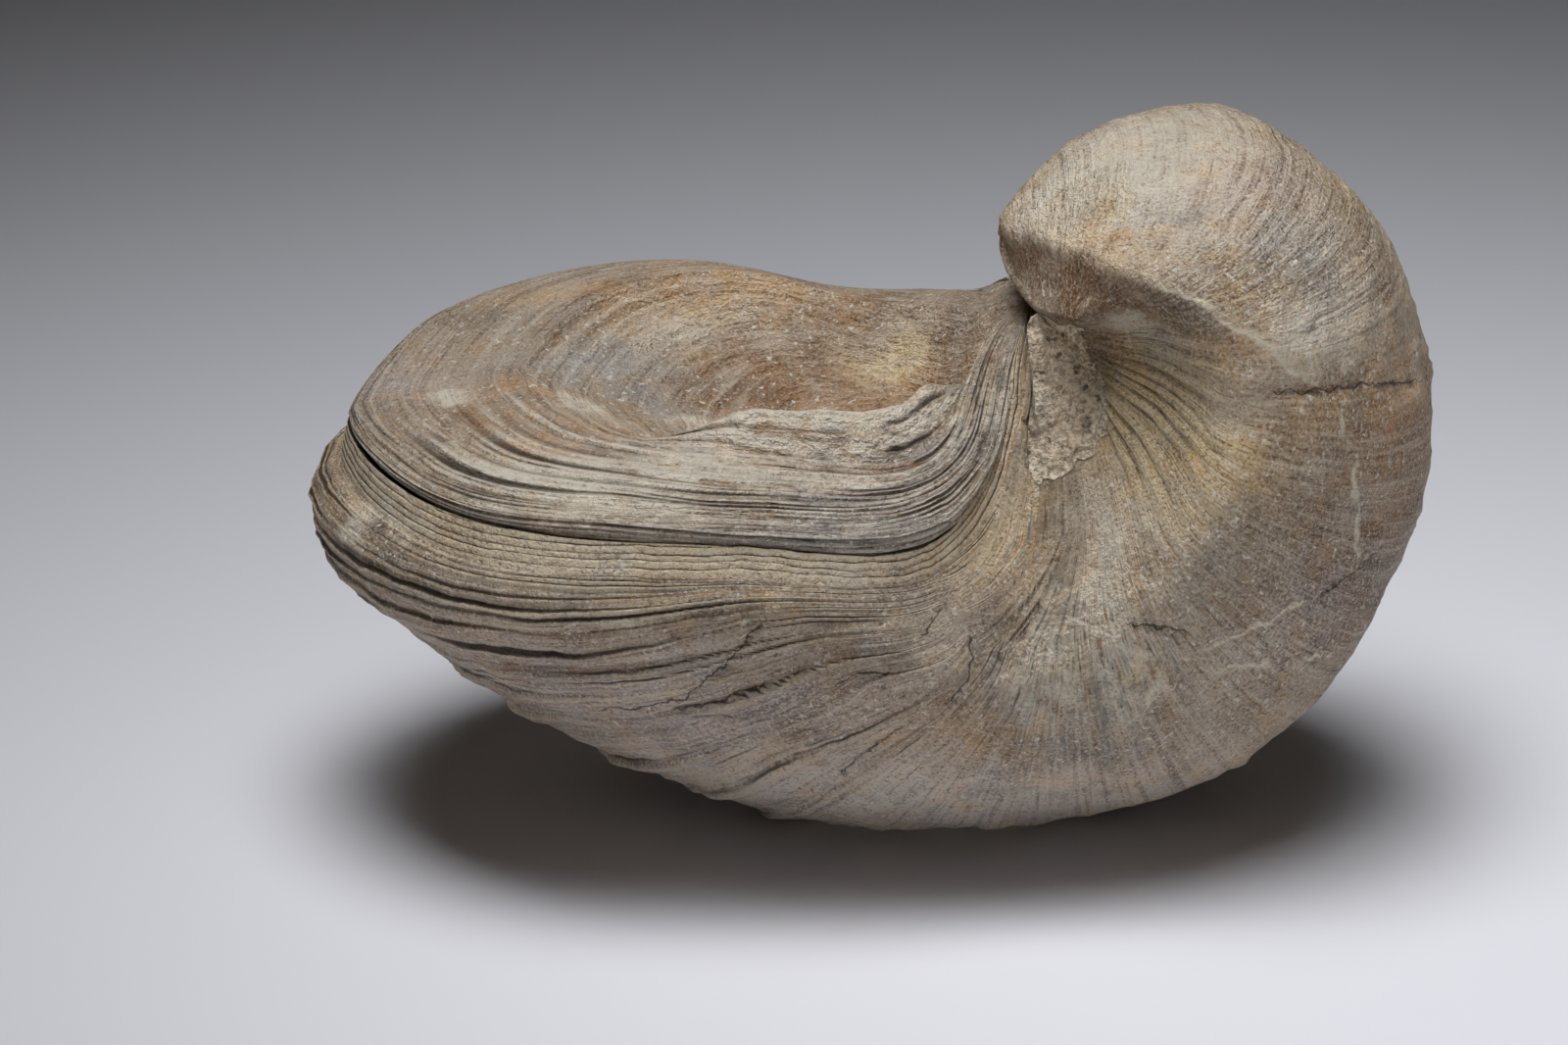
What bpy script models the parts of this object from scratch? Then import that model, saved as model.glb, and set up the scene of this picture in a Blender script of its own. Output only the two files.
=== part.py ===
"""Fossil oyster of the devil's-toenail kind: a coiled left valve, a dished right
valve lying in its mouth as a lid, and the mud that set hard beside the hinge.

Lengths are in millimetres until the mesh is made.  +Z is up, +X is the end with
the beak, and Y = 0 is the plane of the coil.  The origin is on the ground, under
the middle of the shell.
"""

import bpy
import numpy as np

# Driving dimensions, mm
SHELL_LENGTH = 75.0      # along X, from the mouth's lip to the back of the coil
WORN_FOOT = 0.80         # height worn flat off the keel, where the shell rests
NODE_GAP = 0.40          # left open between two pieces that touch
LEDGE_RUN = 3.2          # a growth ledge rises over this much of the keel
LEDGE_DROP = 0.45        # and falls back over this much
LEDGE_SPREAD = 1.3       # full height down to 1/1.3 of the keel's gap between stages
SULCUS_DEPTH = 2.0       # groove along the far flank
SULCUS_ANGLE = 4.47      # where it runs, round each growth stage, in radians
SULCUS_WIDTH = 0.28
HOLLOW_DEPTH = 1.0       # of the shell under the edge of the sediment
SEDIMENT_PROUD = 0.3     # sediment over the shell around it
SEDIMENT_RIM = 0.2       # its least thickness, at the edge
BASIN_DEPTH = 4.0        # of the lid below its lip
FLOOR_DIP = 1.6          # of the valve's mouth, and of the lid's underside in it

# Mesh density
AROUND = 44              # points round each growth stage
ROW_STEP = 2.6           # between growth stages, along the keel
FLOOR_ROWS = 4
LID_EDGE_ROWS = 9
LID_BASIN_ROWS = 8

# Growth stages of the left valve.  The shell's edge at each stage is an arch over
# a curved line in the plane of the coil, from the hinge to the keel: the keel
# point, two handles of the curve and the hinge point, as (X, Z); then the arch's
# half-width, its share of that at the hinge, and how square its keel end is.
STAGES = (
    ((8.2, 40.8), (8.2, 40.8), (8.2, 40.8), (8.2, 40.8), 0.0, 1.00, 0.0),
    ((8.4, 42.1), (8.8, 41.2), (8.8, 40.7), (8.6, 39.6), 3.0, 1.00, 0.0),
    ((9.7, 43.7), (10.0, 41.8), (9.8, 40.3), (9.4, 38.6), 6.0, 1.00, 0.0),
    ((15.6, 47.4), (13.4, 42.5), (13.4, 42.7), (11.1, 37.4), 12.3, 0.90, 0.0),
    ((25.7, 47.6), (18.7, 43.4), (19.0, 43.8), (11.7, 37.1), 16.8, 0.72, 0.0),
    ((33.5, 41.6), (21.6, 41.1), (22.3, 41.4), (11.9, 36.9), 18.4, 0.60, 0.0),
    ((37.1, 32.3), (22.6, 36.2), (22.9, 36.4), (11.9, 36.7), 19.3, 0.52, 0.0),
    ((35.2, 19.0), (21.0, 30.2), (21.3, 30.1), (11.8, 36.5), 20.3, 0.48, 0.0),
    ((27.2, 6.6), (16.7, 25.0), (16.7, 24.3), (11.7, 36.4), 21.0, 0.46, 0.0),
    ((10.5, 0.7), (11.3, 21.8), (10.5, 20.8), (11.5, 36.3), 21.8, 0.45, 0.0),
    ((-8.5, 2.0), (9.0, 22.4), (5.2, 21.8), (11.4, 36.3), 22.4, 0.45, 0.0),
    ((-25.3, 10.3), (8.0, 23.2), (3.6, 24.2), (11.2, 36.3), 22.9, 0.45, 0.25),
    ((-31.9, 15.4), (7.6, 23.6), (3.7, 24.8), (11.1, 36.3), 23.1, 0.45, 0.45),
    ((-36.2, 19.3), (7.3, 23.9), (3.8, 25.3), (11.0, 36.3), 23.2, 0.45, 0.65),
    ((-37.6, 22.7), (7.0, 24.2), (3.9, 25.7), (10.9, 36.3), 23.2, 0.45, 0.80),
    ((-36.9, 24.8), (6.7, 24.6), (4.1, 26.1), (10.8, 36.3), 22.8, 0.45, 0.90),
    ((-34.2, 26.4), (6.5, 24.9), (4.3, 26.5), (10.7, 36.4), 22.0, 0.45, 1.00),
)

# The lid's edge, from its groove over the crest to the lip: the same points and
# the half-width, then its share at the hinge, how far the hinge end's rounding
# reaches, the squareness, and how much higher the far half of the lid stands.
LID_EDGE = (
    ((-33.1, 27.2), (6.0, 25.8), (3.6, 27.3), (10.1, 36.8), 20.4, 0.42, 0.16, 0.90, 0.2),
    ((-34.3, 28.0), (6.7, 26.5), (4.1, 28.5), (10.1, 36.9), 21.4, 0.42, 0.17, 0.90, 0.9),
    ((-34.8, 29.0), (7.9, 28.0), (4.9, 31.1), (10.3, 36.9), 21.7, 0.40, 0.20, 0.94, 1.9),
    ((-33.9, 29.5), (8.0, 28.8), (4.6, 32.0), (10.2, 37.0), 21.0, 0.36, 0.25, 0.97, 2.3),
    ((-30.1, 30.5), (7.9, 29.7), (3.9, 32.7), (10.2, 37.0), 18.8, 0.28, 0.35, 1.00, 2.4),
    ((-23.6, 31.6), (7.7, 30.4), (3.3, 33.0), (10.1, 37.0), 14.4, 0.20, 0.45, 1.00, 2.2),
)
LID_STEPS = (0.0, 1.0, 2.2, 3.0, 4.3, 6.0)

# Growth ledges: where along the keel from the beak's tip, and how high
LEDGES = (
    (38.0, 0.25), (46.5, 0.30), (54.0, 0.45), (59.5, 0.40), (66.0, 0.45), (71.5, 0.75),
    (79.5, 0.35), (89.5, 0.35), (97.5, 0.55), (103.0, 0.45), (109.5, 0.60), (115.5, 0.60),
    (119.5, 0.50), (123.5, 0.60), (127.5, 0.50), (131.5, 0.80), (135.5, 0.60),
    (138.8, 0.50), (141.6, 0.40),
)
LID_LEDGES = ((0.86, 0.35), (0.70, 0.40), (0.52, 0.30), (0.36, 0.20))

# Outline of the sediment round the hinge: distance along the keel, angle
SEDIMENT_EDGE = ((8.0, 0.46), (14.0, 0.42), (30.0, 0.44), (45.0, 0.55), (55.0, 0.72), (61.0, 0.86),
                 (70.0, 0.88), (86.0, 0.82), (120.0, 0.72), (147.0, 0.62))
SEDIMENT_ANGLE = 0.25    # where it starts, close round the hinge
SEDIMENT_SPAN = (8.0, 112.0)
SEDIMENT_ROWS = 18
SEDIMENT_COLUMNS = 7
SEDIMENT_FACE = (5.5, 0.65, 40.0)   # depth from the coil's plane, slope, height


def smooth(x):
    """Smooth step: 0 below 0, 1 above 1, level at both ends."""
    x = np.clip(x, 0, 1)
    return x * x * (3 - 2 * x)


def through(knots, values, at):
    """Smooth curve through the values at the knots: cubic pieces that share slopes."""
    knots = np.asarray(knots, float)
    values = np.asarray(values, float).reshape(len(knots), -1)
    gap = np.diff(knots)
    rate = np.diff(values, axis=0) / gap[:, None]
    slope = np.empty_like(values)
    slope[0], slope[-1] = rate[0], rate[-1]
    slope[1:-1] = (rate[:-1] * gap[1:, None] + rate[1:] * gap[:-1, None]) / (
        gap[:-1] + gap[1:]
    )[:, None]
    i = np.clip(np.searchsorted(knots, at, side="right") - 1, 0, len(knots) - 2)
    width = gap[i][:, None]
    t = ((at - knots[i]) / gap[i])[:, None]
    return (
        (2 * t**3 - 3 * t**2 + 1) * values[i]
        + (t**3 - 2 * t**2 + t) * width * slope[i]
        + (3 * t**2 - 2 * t**3) * values[i + 1]
        + (t**3 - t**2) * width * slope[i + 1]
    )


def columns(table, count=4):
    """The table's (X, Z) columns as arrays, then its plain numbers as one array."""
    points = [np.array([row[c] for row in table]) for c in range(count)]
    return points, np.array([row[count:] for row in table])


def arch(t, hinge_share, round_in, square):
    """Share of the half-width at t, from 0 at the hinge to 1 at the keel.

    It rises as a quarter circle over round_in, widens from hinge_share to 1, and
    falls at the keel end as a superellipse that is squarer where square is 1.
    """
    full_from = 0.50 + 0.10 * square
    widest = 0.55 + 0.15 * square
    rise = np.sqrt(1 - (1 - np.clip(t / round_in, 0, 1)) ** 2)
    past = np.clip((t - full_from) / (1 - full_from), 0, 1)
    fall = (1 - past ** (2.3 + 5 * square)) ** (1 / (2.1 - 0.7 * square))
    return rise * fall * (hinge_share + (1 - hinge_share) * smooth(t / widest))


def arched_line(keel, outer, inner, hinge, t, y):
    """Points on the Bezier line hinge, inner, outer, keel at t, moved sideways to y."""
    s = 1 - t
    xz = (
        (s**3)[..., None] * hinge
        + (3 * t * s**2)[..., None] * inner
        + (3 * t**2 * s)[..., None] * outer
        + (t**3)[..., None] * keel
    )
    return np.stack([xz[..., 0], y, xz[..., 1]], -1)


STAGE_POINTS, STAGE_SHAPES = columns(STAGES)
KEEL = np.concatenate(
    [[0.0], np.cumsum(np.linalg.norm(np.diff(STAGE_POINTS[0], axis=0), axis=1))]
)
GROWN = KEEL[-1]


def bare_valve(u, v, inward=1.0):
    """Left valve with no relief: u runs along the keel, v round the edge at that
    stage, first along the near side (-Y).  inward below 1 shrinks the edge over
    its own arched line, which gives the floor that the lid lies on."""
    keel, outer, inner, hinge = (through(KEEL, p, u)[:, None] for p in STAGE_POINTS)
    wide, share, square = np.split(through(KEEL, STAGE_SHAPES, u), 3, axis=1)
    t = np.broadcast_to((1 - np.cos(v)) / 2, (len(u), len(v)))
    half = np.maximum(wide, 0) * arch(t, share, 0.16, np.clip(square, 0, 1))
    y = -np.sign(np.sin(v)) * half * inward
    t = 0.6 + inward * (t - 0.6)
    return arched_line(keel, outer, inner, hinge, t, y)


def outward(points):
    """Unit normals of a grid that closes on itself along its second axis."""
    along = np.gradient(points, axis=0)
    around = np.roll(points, -1, 1) - np.roll(points, 1, 1)
    normal = np.cross(along, around)
    return normal / (np.linalg.norm(normal, axis=-1, keepdims=True) + 1e-9)


def ledges(u, v, base):
    """Height of the growth ledges: each rises slowly, then drops at the old edge.
    They are lower where the stages crowd together towards the hinge."""
    spread = np.linalg.norm(np.gradient(base, u, axis=0), axis=-1)
    height = np.zeros(spread.shape)
    for at, high in LEDGES:
        past = u - at
        tooth = np.where(past < 0, smooth(1 + past / LEDGE_RUN), 1 - smooth(past / LEDGE_DROP))
        uneven = 0.75 + 0.25 * np.sin(2 * v + at)
        height += high * tooth[:, None] * uneven
    return height * np.minimum(LEDGE_SPREAD * spread, 1) * smooth(spread / 0.35)


def sediment_edge(u):
    knots, angles = np.array(SEDIMENT_EDGE).T
    return np.interp(u, knots, angles)


def relief(u, v, base):
    """Ledges, less the groove on the far flank and the hollow beside the hinge."""
    along, around = u[:, None], v[None, :]
    groove = np.exp(-(((around - SULCUS_ANGLE) / SULCUS_WIDTH) ** 2))
    groove = groove * smooth((along - 30) / 60) * (1 - 0.5 * smooth((along - 122) / 18))
    hollow = smooth((along - 42) / 12) * smooth((GROWN - 26 - along) / 22)
    hollow = hollow * smooth((around - SEDIMENT_ANGLE) / 0.25)
    hollow = hollow * smooth((sediment_edge(u)[:, None] + 0.1 - around) / 0.3)
    return ledges(u, v, base) - SULCUS_DEPTH * groove - HOLLOW_DEPTH * hollow


def stage_rows():
    """Growth stages to model: an even series, and two more at each ledge."""
    even = np.arange(0.6, GROWN, ROW_STEP)
    steps = np.array([[at, at + LEDGE_DROP] for at, _ in LEDGES]).ravel()
    apart = np.abs(even[:, None] - steps).min(1) > 0.9
    return np.sort(np.concatenate([even[apart], steps, [GROWN]]))


def left_valve(around):
    """Rings of points from the beak's tip to the edge, and on under the lid."""
    u = stage_rows()
    base = bare_valve(u, around)
    rings = base + outward(base) * relief(u, around, base)[..., None]
    moved = rings[-1] - base[-1]
    floor = []
    for inward in np.linspace(1, 0, FLOOR_ROWS + 2)[1:-1]:
        ring = bare_valve(u[-1:], around, inward)[0] + moved * inward**3
        ring[:, 2] -= FLOOR_DIP * (1 - inward**2)
        floor.append(ring)
    return np.concatenate([rings, floor])


LID_POINTS, LID_SHAPES = columns(LID_EDGE)


def lid_ring(step, around, inward=1.0):
    """One ring of the lid: step picks it from groove to lip, inward shrinks it."""
    at = np.array([step])
    keel, outer, inner, hinge = (through(LID_STEPS, p, at)[0] for p in LID_POINTS)
    wide, share, round_in, square, raised = through(LID_STEPS, LID_SHAPES, at)[0]
    t = (1 - np.cos(around)) / 2
    groove = 0.5 * SULCUS_DEPTH * np.exp(-(((around - SULCUS_ANGLE) / SULCUS_WIDTH) ** 2))
    y = -np.sign(np.sin(around)) * wide * arch(t, share, round_in, square) - groove
    y *= inward
    lift = raised * smooth(y / 14) * np.exp(-(((t - 0.86) / 0.2) ** 2))
    ring = arched_line(keel, outer, inner, hinge, 0.6 + inward * (t - 0.6), y)
    ring[:, 2] += lift * inward
    return ring


def right_valve(around):
    """Rings from the middle of the lid's underside, round its edge, into the basin."""
    under = []
    for inward in np.linspace(0, 1, FLOOR_ROWS + 2)[1:-1]:
        ring = lid_ring(0.0, around, inward)
        ring[:, 2] -= FLOOR_DIP * (1 - inward**2)
        under.append(ring)
    edge = [lid_ring(s, around) for s in np.linspace(0, LID_STEPS[-1], LID_EDGE_ROWS)]
    terraces = sum(high for _, high in LID_LEDGES)
    basin = []
    for inward in np.linspace(1, 0, LID_BASIN_ROWS + 2)[1:-1]:
        ring = lid_ring(LID_STEPS[-1], around, inward)
        ring[:, 2] += sum(h * smooth((inward - at) / 0.06) for at, h in LID_LEDGES)
        ring[:, 2] -= terraces + (BASIN_DEPTH - terraces) * (1 - inward**2.2)
        basin.append(ring)
    return np.array(under + edge + basin)


def sediment(rings, around):
    """Inner and outer faces of the plug.  It fills the funnel beside the hinge and
    ends just proud of the shell: each point is picked off the shell's own grid."""
    rows = stage_rows()
    rings = rings[: len(rows)]
    facing = np.maximum(-outward(rings)[..., 1], 0.3)
    raised = rings.copy()
    raised[..., 1] -= NODE_GAP / facing
    u = np.linspace(*SEDIMENT_SPAN, SEDIMENT_ROWS)
    share = np.linspace(0, 1, SEDIMENT_COLUMNS)
    angle = SEDIMENT_ANGLE + share * (sediment_edge(u)[:, None] - SEDIMENT_ANGLE)

    step = angle / around[1]
    low = np.floor(step).astype(int)
    place = np.interp(u, rows, np.arange(len(rows)))
    row = np.floor(place).astype(int)[:, None]
    across, along = (step - low)[..., None], (place[:, None] - row)[..., None]

    def on(grid):
        """The grid's points at u and angle, by straight interpolation in each cell."""
        near = grid[row, low] * (1 - across) + grid[row, low + 1] * across
        far = grid[row + 1, low] * (1 - across) + grid[row + 1, low + 1] * across
        return near * (1 - along) + far * along

    inner = on(raised)
    outer = inner.copy()
    depth, slope, height = SEDIMENT_FACE
    face = depth + slope * (height - inner[..., 2])
    unworn = -on(bare_valve(rows, around))[..., 1]
    outer[..., 1] = -np.maximum(unworn + SEDIMENT_PROUD, face)
    outer[..., 1] = np.minimum(outer[..., 1], inner[..., 1] - SEDIMENT_RIM)
    return inner, outer


def closed_rings(rings):
    """Vertices and faces of a body of rings, with a point closing each end."""
    count, size, _ = rings.shape
    points = np.concatenate([rings.reshape(-1, 3), [rings[0].mean(0), rings[-1].mean(0)]])
    index = np.arange(count * size).reshape(count, size)
    after = np.roll(index, -1, 1)
    quads = np.stack([index[:-1], index[1:], after[1:], after[:-1]], -1).reshape(-1, 4)
    first, last = count * size, count * size + 1
    faces = quads.tolist()
    faces += [(first, int(a), int(b)) for a, b in zip(index[0], after[0])]
    faces += [(last, int(b), int(a)) for a, b in zip(index[-1], after[-1])]
    return points, faces


def closed_slab(inner, outer):
    """Vertices and faces of a slab between two grids, with a rim all round."""
    rows, size, _ = inner.shape
    index = np.arange(rows * size).reshape(rows, size)
    low = np.stack([index[:-1, :-1], index[:-1, 1:], index[1:, 1:], index[1:, :-1]], -1)
    high = low[..., ::-1] + rows * size
    loop = np.concatenate([index[0], index[1:, -1], index[-1, -2::-1], index[-2:0:-1, 0]])
    after = np.roll(loop, -1)
    shift = rows * size
    rim = np.stack([after, loop, loop + shift, after + shift], -1)
    faces = np.concatenate([low.reshape(-1, 4), high.reshape(-1, 4), rim]).tolist()
    return np.concatenate([inner.reshape(-1, 3), outer.reshape(-1, 3)]), faces


def signed_volume(points, faces):
    """Volume of a closed mesh: above 0 when its faces point out."""
    total = 0.0
    for face in faces:
        for b, c in zip(face[1:-1], face[2:]):
            total += np.dot(points[face[0]], np.cross(points[b], points[c]))
    return total / 6


def stone(name, colour, roughness):
    material = bpy.data.materials.new(name)
    material.use_nodes = True
    shader = material.node_tree.nodes["Principled BSDF"]
    shader.inputs["Base Color"].default_value = (*colour, 1)
    shader.inputs["Roughness"].default_value = roughness
    shader.inputs["Metallic"].default_value = 0.0
    return material


def add_piece(name, points, faces, material, collection):
    """A mesh object, faces out, in metres, with its material."""
    if signed_volume(points, faces) < 0:
        faces = [tuple(face)[::-1] for face in faces]
    mesh = bpy.data.meshes.new(name)
    mesh.from_pydata((points * 0.001).tolist(), [], faces)
    mesh.validate()
    mesh.shade_smooth()
    mesh.materials.append(material)
    piece = bpy.data.objects.new(name, mesh)
    collection.objects.link(piece)
    return piece


def main():
    for old in list(bpy.data.objects):
        bpy.data.objects.remove(old)
    collection = bpy.data.collections.new("fossil_oyster")
    bpy.context.scene.collection.children.link(collection)

    around = np.linspace(0, 2 * np.pi, AROUND, endpoint=False)
    shell_rings = left_valve(around)
    bodies = {
        "left_valve": closed_rings(shell_rings),
        "right_valve": closed_rings(right_valve(around)),
        "sediment_plug": closed_slab(*sediment(shell_rings, around)),
    }

    # Bring the whole to its stated length, stand it on the worn keel and centre it.
    shell = bodies["left_valve"][0]
    size = SHELL_LENGTH / np.ptp(shell[:, 0])
    ground = shell[:, 2].min() + WORN_FOOT
    shell[:, 2] = np.maximum(shell[:, 2], ground)
    middle = (shell.max(0) + shell.min(0)) / 2
    for points, _ in bodies.values():
        points -= (middle[0], middle[1], ground)
        points *= size

    stones = {
        "left_valve": stone("left valve stone", (0.26, 0.22, 0.18), 0.72),
        "right_valve": stone("right valve stone", (0.30, 0.26, 0.21), 0.68),
        "sediment_plug": stone("set sediment", (0.34, 0.32, 0.27), 0.9),
    }
    for name, (points, faces) in bodies.items():
        add_piece(name, points, faces, stones[name], collection)


main()
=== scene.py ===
# %% [markdown]
# # A fossil oyster, worked out as surfaces
# This is a coiled oyster of the devil's-toenail kind, turned to stone.  Its left
# valve grew as a heavy claw, its right valve lies in the claw's mouth as a dished
# lid, and a plug of mud set hard beside the hinge.  The three solids come from the
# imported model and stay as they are.  Each is shown here by a finer surface of the
# same form, because growth lines and grit are too small for a solid model.

import bpy
import numpy as np
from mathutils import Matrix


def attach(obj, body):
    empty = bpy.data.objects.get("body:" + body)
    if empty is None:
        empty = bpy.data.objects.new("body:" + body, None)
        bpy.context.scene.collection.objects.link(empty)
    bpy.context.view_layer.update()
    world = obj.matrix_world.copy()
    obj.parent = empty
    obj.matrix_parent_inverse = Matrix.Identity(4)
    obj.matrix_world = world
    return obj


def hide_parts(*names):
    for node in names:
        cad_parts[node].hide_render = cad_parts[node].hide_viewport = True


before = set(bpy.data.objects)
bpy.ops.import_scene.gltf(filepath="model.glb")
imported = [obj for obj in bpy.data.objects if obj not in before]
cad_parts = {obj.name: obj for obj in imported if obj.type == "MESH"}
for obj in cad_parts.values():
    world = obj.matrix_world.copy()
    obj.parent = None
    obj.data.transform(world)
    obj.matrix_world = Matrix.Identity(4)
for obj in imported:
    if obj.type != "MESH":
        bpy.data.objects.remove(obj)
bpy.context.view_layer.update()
print("solids:", sorted(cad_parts))

# %% [markdown]
# ## Camera
# The shell is seen from its near side and a little above, through a long lens, so
# its proportions stay true.  The camera comes first, because every look at the
# work goes through it.

# %% Place the camera
MM = 0.001                       # all shapes below are in millimetres
scene = bpy.context.scene
CAMERA_AIM = np.array([-5.62, -1.16, 20.55])
CAMERA_DISTANCE = 558.4
CAMERA_ABOVE = np.radians(20.6)
LENS = 192.4                     # mm, on a sensor 36 mm wide


def add_object(name, data):
    """A new object that shows that mesh, light or camera."""
    thing = bpy.data.objects.new(name, data)
    scene.collection.objects.link(thing)
    return thing


lens = bpy.data.cameras.new("camera")
lens.lens = LENS
lens.sensor_width = 36.0
lens.clip_start, lens.clip_end = 0.01, 20.0
camera = add_object("camera", lens)
away = np.array([0, -np.cos(CAMERA_ABOVE), np.sin(CAMERA_ABOVE)])
camera.location = (CAMERA_AIM + CAMERA_DISTANCE * away) * MM
camera.rotation_euler = (np.pi / 2 - CAMERA_ABOVE, 0, 0)
scene.camera = camera
scene.view_settings.view_transform = "Standard"
print("camera at", [round(c, 4) for c in camera.location], "m")

# %% [markdown]
# ## Floor and light
# A pale card lies under the shell and a soft light hangs over it.  The light is
# close and its beam is narrow, so the card fades from near white in front to grey
# behind, and the shell's belly throws a deep shadow with a soft edge.

# %% Lay the floor and hang the lights
def principled(name, roughness):
    """A new material and its shader."""
    material = bpy.data.materials.new(name)
    material.use_nodes = True
    shader = material.node_tree.nodes["Principled BSDF"]
    shader.inputs["Roughness"].default_value = roughness
    return material, shader


def area_light(name, place, aim, size, power, colour, spread=180):
    """A rectangular light at place, in mm, that faces aim."""
    data = bpy.data.lights.new(name, "AREA")
    data.shape, data.size, data.size_y = "RECTANGLE", size[0] * MM, size[1] * MM
    data.energy, data.color, data.spread = power, colour, np.radians(spread)
    lamp = add_object(name, data)
    ahead = np.subtract(aim, place)
    ahead = ahead / np.linalg.norm(ahead)
    lamp.location = np.multiply(place, MM)
    lamp.rotation_euler = (np.arccos(-ahead[2]), 0, np.arctan2(-ahead[0], ahead[1]))
    return lamp


card, card_shader = principled("pale card", 0.75)
card_shader.inputs["Base Color"].default_value = (0.77, 0.79, 0.85, 1)
card_shader.inputs["Specular IOR Level"].default_value = 0.2
floor_mesh = bpy.data.meshes.new("floor")
floor_mesh.from_pydata([(-3, -3, 0), (3, -3, 0), (3, 3, 0), (-3, 3, 0)], [], [(0, 1, 2, 3)])
floor_mesh.materials.append(card)
floor = add_object("floor", floor_mesh)

area_light("overhead softbox", (-2, -60, 350), (39.6, -28.7, 0), (252, 205), 0.222,
           (1, 0.985, 0.985), 61.5)
low = area_light("low front bounce", (0, -420, 9), (0, 0, 14), (400, 16), 0.1,
                 (1, 0.96, 0.92), 120)
low.visible_camera = False

world = bpy.data.worlds.new("dim room")
world.use_nodes = True
sky = world.node_tree.nodes["Background"].inputs
sky["Color"].default_value, sky["Strength"].default_value = (1, 0.9, 0.85, 1), 0.004
scene.world = world

# %% [markdown]
# ## Growth stages
# An oyster's shell is the sum of its old edges.  Each edge is an arch over a curved
# line from the hinge to the keel, and the valve is the row of these arches from the
# beak's tip to the mouth.  The same table as in the solid model is used, so the
# surface lies where the solid is.

# %% The left valve's growth stages
# keel point, two handles and hinge point as (X, Z); half-width, its share at the
# hinge, and how square the keel end is
STAGES = (
    ((8.2, 40.8), (8.2, 40.8), (8.2, 40.8), (8.2, 40.8), 0, 1, 0),
    ((8.4, 42.1), (8.8, 41.2), (8.8, 40.7), (8.6, 39.6), 3, 1, 0),
    ((9.7, 43.7), (10, 41.8), (9.8, 40.3), (9.4, 38.6), 6, 1, 0),
    ((15.6, 47.4), (13.4, 42.5), (13.4, 42.7), (11.1, 37.4), 12.3, 0.9, 0),
    ((25.7, 47.6), (18.7, 43.4), (19, 43.8), (11.7, 37.1), 16.8, 0.72, 0),
    ((33.5, 41.6), (21.6, 41.1), (22.3, 41.4), (11.9, 36.9), 18.4, 0.6, 0),
    ((37.1, 32.3), (22.6, 36.2), (22.9, 36.4), (11.9, 36.7), 19.3, 0.52, 0),
    ((35.2, 19), (21, 30.2), (21.3, 30.1), (11.8, 36.5), 20.3, 0.48, 0),
    ((27.2, 6.6), (16.7, 25), (16.7, 24.3), (11.7, 36.4), 21, 0.46, 0),
    ((10.5, 0.7), (11.3, 21.8), (10.5, 20.8), (11.5, 36.3), 21.8, 0.45, 0),
    ((-8.5, 2), (9, 22.4), (5.2, 21.8), (11.4, 36.3), 22.4, 0.45, 0),
    ((-25.3, 10.3), (8, 23.2), (3.6, 24.2), (11.2, 36.3), 22.9, 0.45, 0.25),
    ((-31.9, 15.4), (7.6, 23.6), (3.7, 24.8), (11.1, 36.3), 23.1, 0.45, 0.45),
    ((-36.2, 19.3), (7.3, 23.9), (3.8, 25.3), (11, 36.3), 23.2, 0.45, 0.65),
    ((-37.6, 22.7), (7, 24.2), (3.9, 25.7), (10.9, 36.3), 23.2, 0.45, 0.8),
    ((-36.9, 24.8), (6.7, 24.6), (4.1, 26.1), (10.8, 36.3), 22.8, 0.45, 0.9),
    ((-34.2, 26.4), (6.5, 24.9), (4.3, 26.5), (10.7, 36.4), 22, 0.45, 1),
)


def smooth(x):
    """Smooth step: 0 below 0, 1 above 1, level at both ends."""
    x = np.clip(x, 0, 1)
    return x * x * (3 - 2 * x)


def bell(x, width):
    """exp(-(x / width)^2): 1 in the middle, next to nothing past twice the width."""
    return np.exp(-((x / width) ** 2))


def through(knots, values, at):
    """Smooth curve through the values at the knots: cubic pieces that share slopes."""
    knots = np.asarray(knots, float)
    values = np.asarray(values, float).reshape(len(knots), -1)
    gap = np.diff(knots)
    rate = np.diff(values, axis=0) / gap[:, None]
    slope = np.empty_like(values)
    slope[0], slope[-1] = rate[0], rate[-1]
    slope[1:-1] = rate[:-1] * gap[1:, None] + rate[1:] * gap[:-1, None]
    slope[1:-1] /= (gap[:-1] + gap[1:])[:, None]
    i = np.clip(np.searchsorted(knots, at, side="right") - 1, 0, len(knots) - 2)
    width = gap[i][:, None]
    t = (at - knots[i])[:, None] / width
    bend = t * (1 - t) * width * ((1 - t) * slope[i] - t * slope[i + 1])
    return values[i] + smooth(t) * (values[i + 1] - values[i]) + bend


def columns(table, count=4):
    """The table's (X, Z) columns as arrays, then its plain numbers as one array."""
    points = [np.array([row[c] for row in table]) for c in range(count)]
    return points, np.array([row[count:] for row in table])


def arch(t, hinge_share, round_in, square):
    """Share of the half-width from t = 0 at the hinge to t = 1 at the keel: a
    quarter circle, a slow widening, then a superellipse that may be square."""
    full_from = 0.50 + 0.10 * square
    widest = 0.55 + 0.15 * square
    rise = np.sqrt(1 - (1 - np.clip(t / round_in, 0, 1)) ** 2)
    past = np.clip((t - full_from) / (1 - full_from), 0, 1)
    fall = (1 - past ** (2.3 + 5 * square)) ** (1 / (2.1 - 0.7 * square))
    return rise * fall * (hinge_share + (1 - hinge_share) * smooth(t / widest))


def arched_line(keel, outer, inner, hinge, t, y):
    """Points on the Bezier line hinge, inner, outer, keel at t, moved sideways to y."""
    t, s = t[..., None], 1 - t[..., None]
    xz = s**3 * hinge + 3 * t * s**2 * inner + 3 * t**2 * s * outer + t**3 * keel
    return np.stack([xz[..., 0], y, xz[..., 1]], -1)


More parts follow.
